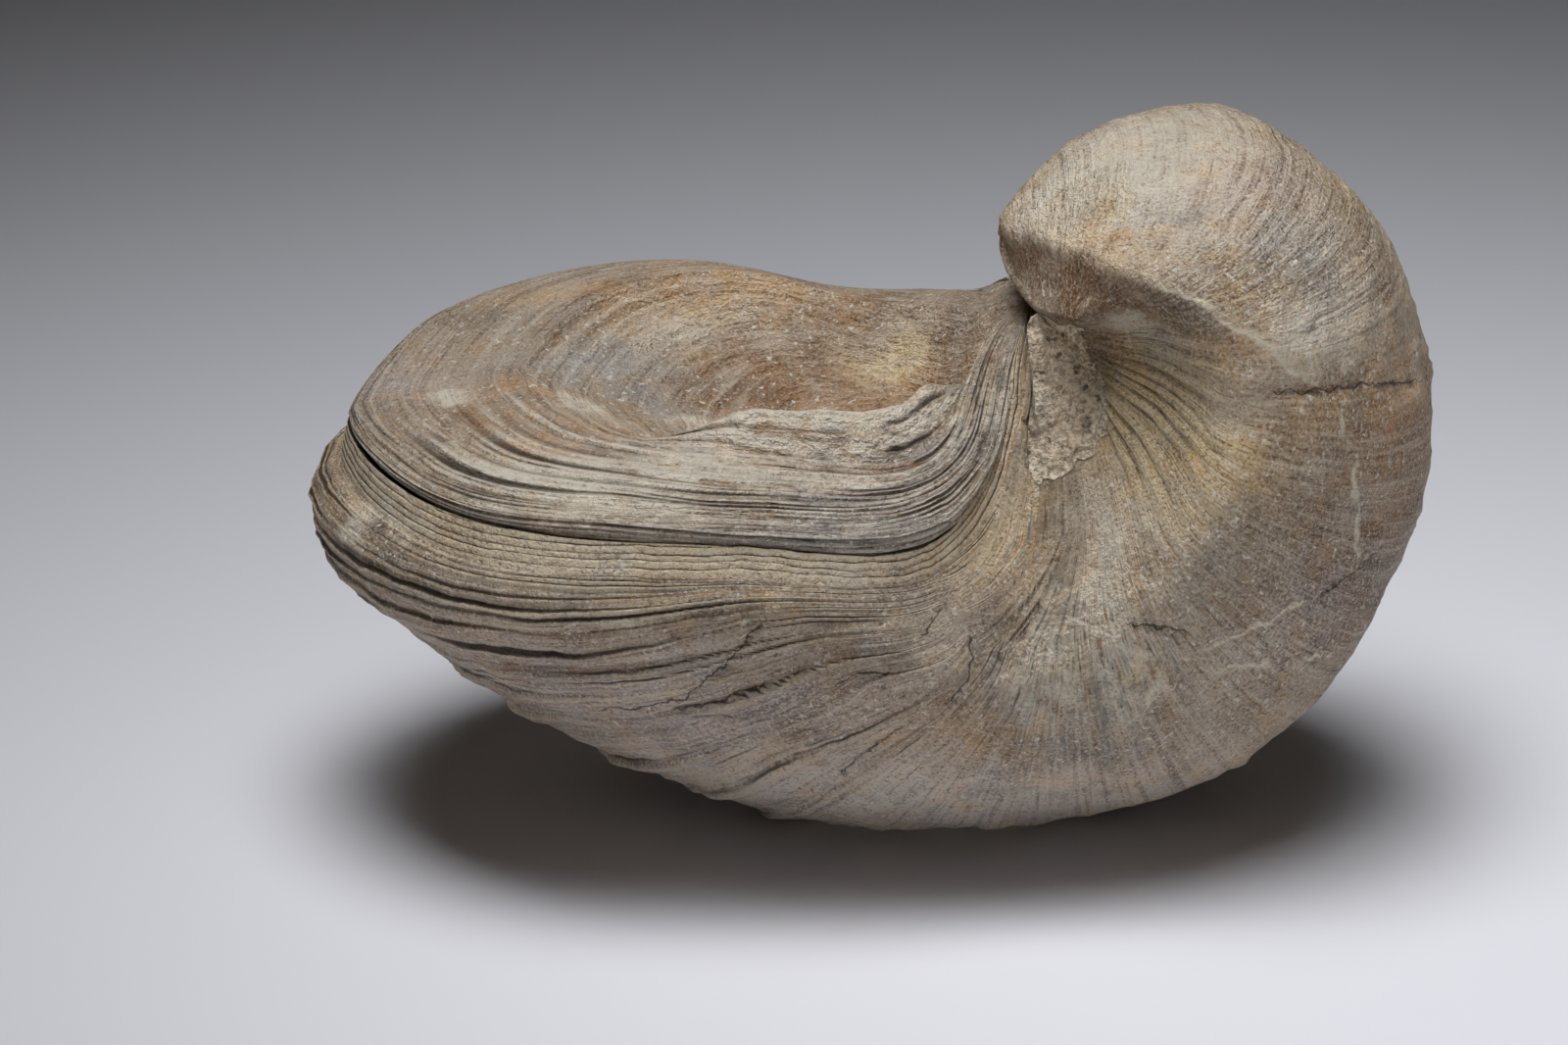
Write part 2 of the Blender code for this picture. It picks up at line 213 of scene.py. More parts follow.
STAGE_POINTS, STAGE_SHAPES = columns(STAGES)
KEEL_STEPS = np.linalg.norm(np.diff(STAGE_POINTS[0], axis=0), axis=1)
KEEL = np.concatenate([[0], np.cumsum(KEEL_STEPS)])
GROWN = KEEL[-1]


def bare_valve(u, v, inward=1):
    """Left valve with no relief.  u is the way along the keel in mm, one for each
    row.  v is the angle round that row's edge, near side first.  The point is the
    arched line at t = (1 - cos v) / 2.  inward below 1 draws it to the middle."""
    keel, outer, inner, hinge = (through(KEEL, p, u)[:, None] for p in STAGE_POINTS)
    wide, share, square = np.split(through(KEEL, STAGE_SHAPES, u), 3, axis=1)
    t = np.broadcast_to((1 - np.cos(v)) / 2, (len(u), np.shape(v)[-1]))
    half = np.maximum(wide, 0) * arch(t, share, 0.16, np.clip(square, 0, 1))
    y = -np.sign(np.sin(v)) * half * inward
    t = 0.6 + inward * (t - 0.6)
    return arched_line(keel, outer, inner, hinge, t, y)


def unit(vectors):
    return vectors / (np.linalg.norm(vectors, axis=-1, keepdims=True) + 1e-9)


print("the keel is", round(GROWN, 1), "mm long, from the beak's tip to the mouth")

# %% [markdown]
# ## Noise on a lattice
# Stone is never quite even.  One helper makes every unevenness in the shapes: it
# puts random numbers on the corners of a lattice and blends between them.  Stretch
# the coordinates and the blobs become streaks.

# %% Lattice noise
def lattice(points, cell, seed, octaves=1):
    """Noise from -1 to 1: random corner values blended by smooth steps over cells of
    that size, plus octaves at half the size and half the height each."""
    table = np.random.default_rng(seed).uniform(-1, 1, (32, 32, 32))
    total, height = 0, 1.0
    for octave in range(octaves):
        q = points / np.asarray(cell) * 2**octave + 7.31 * octave
        low = np.floor(q).astype(int)
        f = q - low
        f = f * f * (3 - 2 * f)
        (i, j, k), (a, b, c) = np.moveaxis(low % 32, -1, 0), np.moveaxis(f, -1, 0)
        i1, j1 = (i + 1) % 32, (j + 1) % 32
        lower, upper = ((table[i, j, k] * (1 - a) + table[i1, j, k] * a) * (1 - b)
                        + (table[i, j1, k] * (1 - a) + table[i1, j1, k] * a) * b
                        for k in (k, (k + 1) % 32))
        total = total + height * (lower * (1 - c) + upper * c)
        height *= 0.5
    return total


# %% [markdown]
# ## Marks on the flank
# Cracks and pale veins cross the stone.  Each is a line of points in side view, and
# what is kept at each vertex is the signed distance to the nearest line.  A signed
# distance blends cleanly between vertices, so a hair crack stays sharp on a mesh
# that is coarser than the crack.

# %% Cracks and veins
# (X, Z) points in mm, on the near side
CRACKS = (
    ((26, 35.9), (29.5, 35.1), (32.4, 34.6), (35.6, 32.6)),
    ((29.6, 20.7), (31, 21.3), (33, 22.1)),
    ((-17.5, 13.4), (-14.4, 14.3), (-11.8, 15.9), (-9.2, 18.8), (-7.3, 21.7)),
    ((-12.5, 14.5), (-9.6, 15.6), (-6.5, 17.4)),
    ((-11.5, 13.6), (-9, 13.9)),
    ((16.9, 20.8), (18.6, 20.5), (20.3, 20)),
    ((-1.9, 8.8), (0.7, 12.4), (1.9, 13.6)),
    ((5.2, 16), (6.2, 17.5), (6.4, 20)),
    ((-1.9, 17.4), (-0.4, 18.2), (1, 18.3)),
    ((3.4, 20.8), (4.7, 21.9)),
    ((9.2, 31.6), (10.2, 30.9), (11, 30.2)),
)
VEINS = (
    ((17, 42.8), (20.7, 42), (22.8, 40.7), (25.2, 39), (28.3, 35.9)),
    ((30.4, 33), (31.2, 29.5), (31.6, 26), (31.7, 23.3)),
    ((21.5, 18.6), (24.6, 19.4), (27.6, 20.5)),
    ((23, 16.8), (26.2, 16.2), (29, 15.6)),
    ((18, 15), (18.6, 17)),
)
# the ridge that runs back from the beak's tip, over the hollow beside the hinge
BEAK_RIDGE = (((8.7, 42.5), (9.7, 43.2), (11.3, 43.6), (13.1, 43.8), (15.2, 43.9), (16.9, 43.7),
               (20.5, 42.9), (22.6, 41.6), (25, 39.9), (28.1, 36.8)),)
NO_LINE = 99.0                   # the distance kept where no line is near


def line_offset(x, z, lines):
    """Signed distance in mm to the nearest of the lines, each a chain of segments."""
    best = np.full(x.shape, NO_LINE)
    for line in lines:
        for (ax, az), (bx, bz) in zip(line, line[1:]):
            dx, dz = bx - ax, bz - az
            length = np.hypot(dx, dz)
            s = np.clip(((x - ax) * dx + (z - az) * dz) / length**2, 0, 1)
            far = np.hypot(x - ax - s * dx, z - az - s * dz)
            side = np.sign((x - ax) * dz - (z - az) * dx + 1e-9)
            best = np.where(far < np.abs(best), far * side, best)
    return best


# %% [markdown]
# ## Relief of the left valve
# Each pause in growth left the old edge standing a little proud, so the surface is
# a run of low steps, like roof tiles.  Near the mouth the pauses crowd into a stack
# of ragged leaves.  Beside the hinge the stages fan out in rounded ribs.

# %% Ledges, ribs, leaves and wear
# each ledge: its growth stage and its height, in mm; ribs and leaves by their stage
LEDGES = (
    (38, 0.12), (46.5, 0.1), (54, 0.14), (66, 0.16), (71.5, 0.28), (79.5, 0.14),
    (89.5, 0.24), (97.5, 0.35), (104.5, 0.65), (110.5, 0.4), (116, 0.5), (119.5, 0.3),
    (123.3, 0.8), (127.5, 0.5), (131.5, 0.4), (135.7, 0.5), (138.6, 0.45),
)
RIBS = (33.2, 36.2, 40.3, 43.6, 46.2, 48.8, 52, 57.2, 60.8, 64)
LEAVES = (140.2, 141.4, 142.5, 143.2, 144.1, 144.7, 145.5, 146.2, 146.9)
# (X, Z) of a grooved place, its reach in X and Z, and how strong it is
GROOVED = ((15, 19, 6, 8, 1), (9, 27, 4, 7, 0.9), (3, 22, 8, 4, 0.25), (22, 27, 5, 6, 0.4),
           (29, 41, 8, 7, 0.3))
SULCUS_ANGLE, SULCUS_WIDTH, SULCUS_DEPTH = 4.47, 0.28, 2.0
# the mud's edge: the way along the keel and the angle there
SEDIMENT_EDGE = ((8, 0.46), (14, 0.42), (30, 0.44), (45, 0.55), (55, 0.72), (61, 0.86),
                 (70, 0.88), (86, 0.82), (120, 0.72), (147, 0.62))
# Growth as it shows: on the flank the stages are where the keel says, but close to
# the hinge the later ones sweep back, by so many mm for each radian
FLOW = ((0, 0), (60, 8), (80, 10), (105, 55), (130, 81), (147.3, 0))
print(len(LEDGES), "ledges,", len(RIBS), "ribs and", len(LEAVES), "leaves")


def growth(u, v):
    """Growth stage in mm that shows at (u, v), with the sweep near the hinge."""
    w = np.minimum(v, 2 * np.pi - v)
    back = np.clip(1.45 - w, 0, 0.42)
    stage = 0.0
    for (a, p), (b, q) in zip(FLOW, FLOW[1:]):
        start, end = a - p * back, b - q * back
        stage = stage + (b - a) * np.clip((u - start) / (end - start), 0, 1)
    dip = bell(w - 1.8, 0.26) * smooth((u - 112) / 10) * smooth((147 - u) / 9)
    return stage - 5.0 * dip


def tooth(stage, edge, run, drop):
    """One step: rises over run up to the edge, then falls back over drop."""
    past = stage - edge
    return np.where(past < 0, smooth(1 + past / run) ** 1.5, 1 - smooth(past / drop))


def lip_highlight_gap_shade(stage, edge, width):
    """Paint for one step: above 0 on its lip, worn pale and painted highlight; below 0 in the gap
    past it, painted shade.
    """
    past = (stage - edge) / width
    return bell(past + 0.8, 1) - 1.2 * bell(past - 1, 1)


# %% Ledges, fine steps and leaves
FINE_STEPS = np.arange(20, 140, 0.83)


def growth_steps(stage, flow, w):
    """Height and paint of all steps: the ledges, a fine step every 0.83 mm and the
    ragged leaves at the mouth.  Noise lets each come and go along its length."""
    height, paint = np.zeros(stage.shape), np.zeros(stage.shape)
    for number, (edge, high) in enumerate(LEDGES):
        uneven = 0.55 + 0.75 * lattice(flow + 5.1 * number, (40, 6, 9), 10 + number, 2)
        uneven = np.clip(uneven, 0, 1.3)
        height += high * uneven * tooth(stage, edge, 3, 0.35)
        paint += np.minimum(1.1 * high, 0.6) * uneven * lip_highlight_gap_shade(stage, edge, 0.2)
    for number, edge in enumerate(FINE_STEPS):
        there = smooth(2 * lattice(flow + 3.7 * number, (60, 5, 9), 40, 2))
        edge = edge + 0.5 * np.sin(2.4 * number)
        height += 0.11 * there * tooth(stage, edge, 0.8, 0.2)
        paint += 0.45 * there * lip_highlight_gap_shade(stage, edge, 0.14)
    leaf_room = smooth((w - 0.8) / 0.5)
    chipped = 0.10 * lattice(flow, (50, 2.6, 3), 60, 2) + 0.06 * lattice(flow, (50, 0.5, 0.8), 61)
    for number, edge in enumerate(LEAVES):
        drift = 0.22 * lattice(flow + 9.3 * number, (90, 7, 9), 62)
        uneven = leaf_room * np.clip(0.65 + 0.6 * lattice(flow, (50, 5, 9), 80 + number), 0.1, 1.2)
        leafed = stage + chipped + drift
        height += 0.27 * uneven * tooth(leafed, edge, 0.8, 0.14)
        paint += 0.8 * uneven * lip_highlight_gap_shade(leafed, edge, 0.15)
    return height, paint


# %% Hollows and wear
def hollows(u, v):
    """Depth in mm of the groove down the far flank and of the mud plug's bed."""
    groove = bell(v - SULCUS_ANGLE, SULCUS_WIDTH)
    groove = groove * smooth((u - 30) / 60) * (1 - 0.5 * smooth((u - 122) / 18))
    edge = np.interp(u, *np.array(SEDIMENT_EDGE).T)
    bed = smooth((u - 42) / 12) * smooth((GROWN - 26 - u) / 22)
    bed = bed * smooth((v - 0.25) / 0.25) * smooth((edge + 0.1 - v) / 0.3)
    return SULCUS_DEPTH * groove + bed


def wear(u, v, w, point):
    """Height and paint of the worn, pitted skin and of the ridge behind the beak."""
    pits = smooth((lattice(point, 1.7, 8, 2) - 0.75) / 0.35)
    dents = 0.28 * lattice(point, 6, 5, 3) + 0.11 * lattice(point, 1.3, 6, 2)
    height = smooth((u - 1) / 12) * (dents - 0.14 * pits)
    ridge = line_offset(point[..., 0], point[..., 2], BEAK_RIDGE)
    beside = (v < np.pi) * smooth((40 - u) / 14) * smooth((w - 0.4) / 0.4)
    below = smooth(ridge / 1.2) * smooth((7 - ridge) / 3) * smooth((23 - u) / 12)
    height += beside * (0.30 * bell(ridge, 1.1) - 0.45 * below)
    return height, 0.3 * beside * bell(ridge + 0.1, 0.3)


# %% The left valve's relief
def valve_relief(u, v, point, spread):
    """Height of the left valve's surface over its plain form in mm, the paint that
    its steps ask for, and how strongly it is combed into streaks."""
    w = np.minimum(v, 2 * np.pi - v)
    stage = growth(u, v)
    flow = np.stack([stage, w * 12, point[..., 1] * 0.6], -1)
    stage = stage + 0.35 * lattice(flow, (9, 5, 9), 3) + 0.10 * lattice(flow, (9, 1.4, 9), 4)
    height, paint = growth_steps(stage, flow, w)
    # full height where the stages are well apart, fading where they crowd together
    height *= np.minimum(1.3 * spread, 1) * smooth(spread / 0.35)
    paint *= smooth(spread / 0.25) * (0.15 + 0.85 * smooth((u - 84) / 20))
    fan = smooth((w - 0.4) / 0.2) * smooth((1.75 - w) / 0.8) * smooth(spread / 0.2)
    fan = fan * np.where(v < np.pi, 1, 0.6)
    for edge in RIBS:
        rib = tooth(stage, edge, 2.2, 1.2) - 0.12 * bell(stage - edge - 0.8, 0.5)
        height += 0.34 * fan * rib
        paint += 0.05 * fan * lip_highlight_gap_shade(stage, edge, 0.4)
    height -= hollows(u, v)
    # grooves that run with the growth lines, where the stages crowd below the hinge
    crowded = sum(high * bell(point[..., 0] - x, rx) * bell(point[..., 2] - z, rz)
                  for x, z, rx, rz, high in GROOVED) * smooth(spread / 0.15)
    combed = lattice(flow, (1.5, 8, 30), 90) + 0.4 * lattice(flow, (3.6, 14, 30), 91)
    margin = smooth((u - 112) / 18) * smooth(spread / 0.3)
    sheets = lattice(flow, (0.6, 7, 12), 92)
    worn, rubbed = wear(u, v, w, point)
    height += 0.17 * crowded * combed + 0.06 * margin * sheets + worn
    paint += 0.5 * crowded * combed + 0.35 * margin * sheets + rubbed
    return height, np.clip(paint, -1, 1), np.clip(crowded + 0.5 * margin, 0, 1)


# %% [markdown]
# ## Rings of the lid
# The right valve closes the mouth, so its edge has to be known before the mouth can
# be shaped to meet it.  Its rings run from under the edge, over the crest, to the lip.

# %% The lid's rings
LID_EDGE = (
    ((-33.1, 27.2), (6, 25.8), (3.6, 27.3), (10.1, 36.8), 20.4, 0.42, 0.16, 0.9, 0.2),
    ((-34.3, 28), (6.7, 26.5), (4.1, 28.5), (10.1, 36.9), 21.4, 0.42, 0.17, 0.9, 0.9),
    ((-34.8, 29), (7.9, 28), (4.9, 31.1), (10.3, 36.9), 21.7, 0.4, 0.2, 0.94, 1.9),
    ((-33.9, 29.5), (8, 28.8), (4.6, 32), (10.2, 37), 21, 0.36, 0.25, 0.97, 2.3),
    ((-30.1, 30.5), (7.9, 29.7), (3.9, 32.7), (10.2, 37), 18.8, 0.28, 0.35, 1, 2.4),
    ((-23.6, 31.6), (7.7, 30.4), (3.3, 33), (10.1, 37), 14.4, 0.2, 0.45, 1, 2.2),
)
LID_STEPS = (0, 1, 2.2, 3, 4.3, 6)
LID_LEDGES = ((0.9, 0.14), (0.8, 0.2), (0.66, 0.16), (0.45, 0.12))
BASIN_DEPTH, CREST, CREST_HEIGHT = 4.4, 0.82, 2.3
LID_POINTS, LID_SHAPES = columns(LID_EDGE)


def lid_ring(step, around, inward=1):
    """One ring of the lid: step picks it from groove to lip, inward shrinks it."""
    at = np.array([step])
    keel, outer, inner, hinge = (through(LID_STEPS, p, at)[0] for p in LID_POINTS)
    wide, share, round_in, square, raised = through(LID_STEPS, LID_SHAPES, at)[0]
    t = (1 - np.cos(around)) / 2
    groove = 0.5 * SULCUS_DEPTH * bell(around - SULCUS_ANGLE, SULCUS_WIDTH)
    y = -np.sign(np.sin(around)) * wide * arch(t, share, round_in, square) - groove
    y *= inward
    lift = raised * smooth(y / 14) * bell(t - 0.86, 0.2)
    ring = arched_line(keel, outer, inner, hinge, 0.6 + inward * (t - 0.6), y)
    ring[:, 2] += lift * inward
    top = smooth((step - 1.5) / 2) * smooth(y / 8) * inward
    ring[:, 2] -= top * (0.55 * bell(t - 0.17, 0.12) - 0.5 * bell(t - 0.8, 0.1))
    return ring


print("the lid's edge is drawn through", len(LID_EDGE), "rings")

# %% [markdown]
# ## Rows where the detail is
# A surface grid spends its faces evenly unless it is told not to.  The rows stand
# close together near the mouth, where the leaves are, and further apart over the
# smooth coil, and the columns are closer on the near side than on the far side.

# %% Build the left valve
def dense(start, end, count):
    """count rows from start to end, close together where the detail is."""
    fine = np.linspace(start, end, 4000)
    at = 0.5 * (fine[1:] + fine[:-1])
    gap = 0.70 - 0.26 * smooth((at - 85) / 25) - 0.31 * smooth((at - 128) / 10)
    share = np.concatenate([[0], np.cumsum(1 / gap)])
    return np.interp(np.linspace(0, share[-1], count), share, fine)


MIDDLE, GROUND, SIZE = (-0.2618, -0.1767), 0.816, 0.9971
FLOOR_DIP = 1.6
SAG, SAG_MIDDLE, SAG_REACH = (1.4, 0, -3.2), (4.6, 27), (9, 11)


def place(points):
    """From the drawing's millimetres to the frame's.  The near corner of the mouth
    sags by SAG exp(-distance^2), all pieces together, so no two can meet.  Then the
    shell is worn flat below, stood on the ground, centred and brought to length."""
    x, y, z = np.moveaxis(points, -1, 0)
    sag = bell(x - SAG_MIDDLE[0], SAG_REACH[0]) * bell(z - SAG_MIDDLE[1], SAG_REACH[1])
    sag = sag * smooth(-y / 14) * smooth((37 - z) / 4)
    points = points + sag[..., None] * SAG
    points[..., 2] = np.maximum(points[..., 2], GROUND)
    return (points - (*MIDDLE, GROUND)) * SIZE


def valve_surface(u, v):
    """Left valve at rows u and angles v: points, outward normals, relief, paint and
    streaks."""
    step = 0.02
    base = bare_valve(u, v)
    along = (bare_valve(u + step, v) - bare_valve(u - step, v)) / (2 * step)
    around = bare_valve(u, v + step) - bare_valve(u, v - step)
    normal = unit(np.cross(along, around))
    spread = np.linalg.norm(along, axis=-1)
    full = np.broadcast_to(v, base.shape[:2])
    return base, normal, *valve_relief(u[:, None], full, base, spread)


ROWS, NEAR_COLUMNS, FAR_COLUMNS = 366, 155, 93
CRACK_DEPTH, CRACK_WIDTH = 0.22, 0.3
SHELF_BEFORE = 1.4               # the leafed shelf begins so far before the keel's end
v = np.concatenate([np.linspace(0, np.pi, NEAR_COLUMNS, endpoint=False),
                    np.linspace(np.pi, 2 * np.pi, FAR_COLUMNS, endpoint=False)])
u = dense(0.5, GROWN - SHELF_BEFORE, ROWS)
base, normal, relief, paint, streaks = valve_surface(u, v)
shell = base + normal * relief[..., None]
x, y, z = np.moveaxis(place(shell), -1, 0)
crack, vein = (np.where(y < -3, line_offset(x, z, lines), NO_LINE) for lines in (CRACKS, VEINS))
shell -= normal * (CRACK_DEPTH * bell(crack, CRACK_WIDTH))[..., None]
print("the flank holds", len(CRACKS), "cracks and", len(VEINS), "veins")

# %% The shelf of leaves and the mouth's floor
SHELF_ROWS, LEAF_GAP, LID_ROOM = 24, 0.48, 1.012
w = np.minimum(v, 2 * np.pi - v)
meets = lid_ring(1.1, v, LID_ROOM)
mouth_rows, shelf_paint = [], []
# seam_shade: painted shade in the seam under the lid's edge, on the shelf's last rows and the lid's
# sides, none at the keel end
seam_shade = smooth((meets[:, 0] + 28) / 9)
shelf_width = np.linalg.norm(meets - shell[-1], axis=-1)
along_edge = np.stack([v * 9, 0 * v, 0 * v], -1)
for k in np.linspace(0, 1, SHELF_ROWS + 1)[1:]:
    ring = shell[-1] * (1 - k) + meets * k
    ragged = lattice(np.stack([0 * v + k, v * 9, 0 * v], -1), (9, 1.5, 1), 71, 2)
    far = k * shelf_width + 0.12 * ragged
    leaf, mark = 0 * v, 0 * v
    for number, edge in enumerate(np.arange(0.35, 5, LEAF_GAP)):
        uneven = np.clip(0.7 + 0.6 * lattice(along_edge, 3, 72 + number), 0.1, 1)
        leaf += 0.30 * uneven * tooth(far, edge, 0.4, 0.1)
        mark += 1.2 * uneven * lip_highlight_gap_shade(far, edge, 0.12)
    ring[:, 2] += leaf * smooth(k / 0.1) * smooth((1 - k) / 0.1)
    ring[:, 2] += 1.2 * smooth((1.6 - w) / 0.5) * k * (1 - k)
    mouth_rows.append(ring)
    shelf_paint.append(np.clip(mark - 0.7 * seam_shade * smooth((k - 0.92) / 0.08), -1, 1))
# the lid's sides under its edge: painted shade in the seam
for level in (0.7, 0.3, 0):
    mouth_rows.append(lid_ring(level, v, LID_ROOM) - (0, 0, 0.25 * (1 - level)))
    shelf_paint.append(-seam_shade)
# the mouth's floor under the lid, painted dark all over: painted shade
for inward in np.linspace(0.86, 0.04, 6):
    ring = bare_valve(u[-1:], v, inward)[0]
    ring[:, 2] -= FLOOR_DIP * (1 - inward**2) + 0.3
    mouth_rows.append(ring)
    shelf_paint.append(0 * v - 1)
rings = np.concatenate([shell, mouth_rows])
print("left valve:", rings.shape[0], "rows by", rings.shape[1], "columns")


# %% Put a surface into Blender
def closed_faces(count, size):
    """Quads between rings, and a fan of triangles on the point at each end."""
    index = np.arange(count * size).reshape(count, size)
    after = np.roll(index, -1, 1)
    quads = np.stack([index[:-1], index[1:], after[1:], after[:-1]], -1).reshape(-1, 4)
    first, last = count * size, count * size + 1
    start = np.stack([np.full(size, first), index[0], after[0]], -1)
    end = np.stack([np.full(size, last), after[-1], index[-1]], -1)
    return quads, np.concatenate([start, end])


def add_surface(name, points, quads, triangles):
    """A mesh object from whole arrays of points in mm and faces."""
    loops = np.concatenate([quads.ravel(), triangles.ravel()]).astype(np.int32)
    sizes = np.concatenate([np.full(len(quads), 4), np.full(len(triangles), 3)])
    starts = np.concatenate([[0], np.cumsum(sizes)[:-1]]).astype(np.int32)
    mesh = bpy.data.meshes.new(name)
    mesh.vertices.add(len(points))
    mesh.vertices.foreach_set("co", (points * MM).astype(np.float32).ravel())
    mesh.loops.add(len(loops))
    mesh.loops.foreach_set("vertex_index", loops)
    mesh.polygons.add(len(sizes))
    mesh.polygons.foreach_set("loop_start", starts)
    mesh.polygons.foreach_set("use_smooth", np.ones(len(sizes), bool))
    mesh.update(calc_edges=True)
    mesh.validate()
    return add_object(name, mesh)


def keep(piece, name, values):
    """Keeps one number, or one colour, at each vertex under that name."""
    values = np.asarray(values, np.float32)
    kind, slot = ("FLOAT", "value") if values.ndim == 1 else ("FLOAT_VECTOR", "vector")
    attribute = piece.data.attributes.new(name, kind, "POINT")
    attribute.data.foreach_set(slot, values.ravel())


def outwards(rings):
    """Unit normals of a grid of closed rings."""
    along = np.gradient(rings, axis=0)
    return unit(np.cross(along, np.roll(rings, -1, 1) - np.roll(rings, 1, 1)))


def blur(grid, times):
    """Averages each value with its four neighbours, that many times over."""
    for _ in range(times):
        rows = np.concatenate([grid[:1], grid, grid[-1:]])
        grid = (rows[:-2] + rows[2:] + np.roll(grid, 1, 1) + np.roll(grid, -1, 1) + 2 * grid) / 6
    return grid


def standing(rings, times=5):
    """How far each point stands out of its surroundings, in mm."""
    mean = np.stack([blur(rings[..., k], times) for k in range(3)], -1)
    return np.sum((rings - mean) * outwards(rings), -1)


def with_ends(grid):
    """A grid's values as one list, with the mean of each end ring after them."""
    flat = grid.reshape(-1, *grid.shape[2:])
    return np.concatenate([flat, [grid[0].mean(0), grid[-1].mean(0)]])


def ring_piece(name, rings):
    points = with_ends(place(rings))
    quads, ends = closed_faces(*rings.shape[:2])
    piece = add_surface(name, points, quads, ends)
    keep(piece, "standing", with_ends(standing(rings)))
    print(name, len(quads) * 2 + len(ends), "triangles")
    return piece


valve = ring_piece("left_valve_shell", rings)
extra = len(mouth_rows)


def with_mouth(grid, value=None):
    """Extends a grid of the outer shell over the mouth's floor."""
    last = grid[-1:] if value is None else np.full_like(grid[-1:], value)
    return with_ends(np.concatenate([grid] + [last] * extra))


around_angle = np.broadcast_to(v, relief.shape)
keep(valve, "stage", with_mouth(growth(u[:, None], around_angle)))
keep(valve, "across", with_mouth(6.0 * (1 - np.cos(around_angle)) / 2))
keep(valve, "paint", with_ends(np.concatenate([paint, shelf_paint])))
keep(valve, "streaks", with_mouth(streaks))
keep(valve, "crack", with_mouth(crack, NO_LINE))
keep(valve, "vein", with_mouth(vein, NO_LINE))
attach(valve, "root")
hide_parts("left_valve")

# %% [markdown]
# ## The lid
# The right valve is a shallow dish.  Its thick edge is a pack of thin sheets, seen
# end on as fine lines, and the dish behind steps down in terraces.  Its rings run
# from under the edge, up over the crest and down into the basin.

# %% The lid's surface
LID_COLUMNS, UNDER_ROWS, EDGE_ROWS, BASIN_ROWS = 300, 16, 176, 136
around = np.linspace(0, 2 * np.pi, LID_COLUMNS, endpoint=False)
under, basin = [], []
for inward in np.linspace(0.03, 0.97, UNDER_ROWS):
    ring = lid_ring(0, around, inward)
    ring[:, 2] -= FLOOR_DIP * (1 - inward**2)
    under.append(ring)
edge_steps = np.linspace(0, LID_STEPS[-1], EDGE_ROWS)
edge_rows = [lid_ring(s, around) for s in edge_steps]
t = (1 - np.cos(around)) / 2
near = smooth(np.sin(around) / 0.5) * smooth((t - 0.15) / 0.33) * smooth((0.97 - t) / 0.15)
inwards = np.linspace(1, 0, BASIN_ROWS + 2)[1:-1]
circle = np.stack([np.cos(around), np.sin(around), 0 * around], -1)
wander = 0.09 * lattice(circle, 0.55, 21, 3)
broken = np.clip(0.6 + 0.8 * lattice(circle, 0.4, 20, 2), 0, 1.2)
for inward in inwards:
    ring = lid_ring(LID_STEPS[-1], around, inward)
    # the dish: shallow from the far side, steep behind the near crest
    shallow, steep = 1 - inward**2.2, smooth((CREST - inward) / 0.42) ** 0.9
    ring[:, 2] -= BASIN_DEPTH * (shallow * (1 - near) + steep * near)
    crest = smooth((1 - inward) / (1 - CREST)) * smooth((inward - 0.45) / 0.4)
    ring[:, 2] += CREST_HEIGHT * near * crest
    for number, (where, high) in enumerate(LID_LEDGES):
        past = inward - where - wander * (1 + number)
        terrace = tooth(past, 0, 0.02, 0.16) - 0.5 * smooth(past / 0.02)
        ring[:, 2] += high * broken * terrace * (1 - near)
    basin.append(ring)
lid = np.array(under + edge_rows + basin)
print("the lid:", lid.shape[0], "rings of", lid.shape[1], "points")

# %% The lid's sheets
SHEET_GAP, SHEET_HEIGHT = 0.29, 0.14
# where each ring is: 0 under the edge to 6 at the lip, then on across the basin
level = np.concatenate([np.full(len(under), 0), edge_steps, 6 + 8 * (1 - inwards)])[:, None]
wavy = level + 0.30 * lattice(lid, 9, 22)
sheet = np.stack(np.broadcast_arrays(wavy, 9 * t[None], 0.12 * lid[..., 1]), -1)
front = smooth(np.sin(around) / 0.5) * smooth((t - 0.03) / 0.12)
band = smooth(level / 0.4) * smooth((7.6 - level) / 0.8)
band = band * (1 - (1 - front) * smooth((level - 2.2) / 1.6))
height, lid_paint = 0 * sheet[..., 0], 0 * sheet[..., 0]
chipped = 0.05 * lattice(sheet, (50, 0.35, 0.4), 23, 2)
for number, edge in enumerate(np.arange(0.5, 7.5, SHEET_GAP)):
    edge = edge + 0.10 * np.sin(3.1 * number)
    drift = 0.12 * lattice(sheet + 3.3 * number, (90, 2, 2), 24)
    uneven = np.clip(0.5 + 0.8 * lattice(sheet + 1.7 * number, (60, 1, 2), 25, 2), 0, 1.2)
    past = -sheet[..., 0] + chipped + drift
    height += SHEET_HEIGHT * uneven * tooth(past, -edge, 0.32, 0.07)
    # each sheet's lip is painted pale, worn and painted highlight; the gap past it is painted
    # shade, at half strength
    mark = lip_highlight_gap_shade(past, -edge, 0.055)
    lid_paint += uneven * np.where(mark > 0, 1, 0.5) * mark
height *= band
# plain: less painted shade in the gaps, and fainter streaks, around X -20, Z 30.6
plain = 1 - 0.75 * bell(lid[..., 0] + 20, 8) * bell(lid[..., 2] - 30.6, 1.3)
lid_paint = band * np.where(lid_paint > 0, 1, plain) * lid_paint
fine_sheets = lattice(sheet, (0.16, 2.2, 2), 26, 2)
height += 0.07 * band * fine_sheets
lid_paint += 0.55 * band * fine_sheets
dish = smooth((level - 5.4) / 2)
height += dish * (0.30 * lattice(lid, 4.5, 26, 3) + 0.07 * lattice(lid, 1.2, 27, 2))
hinge_fade = smooth(t / 0.05)
lid = lid + outwards(lid) * (height * hinge_fade)[..., None]

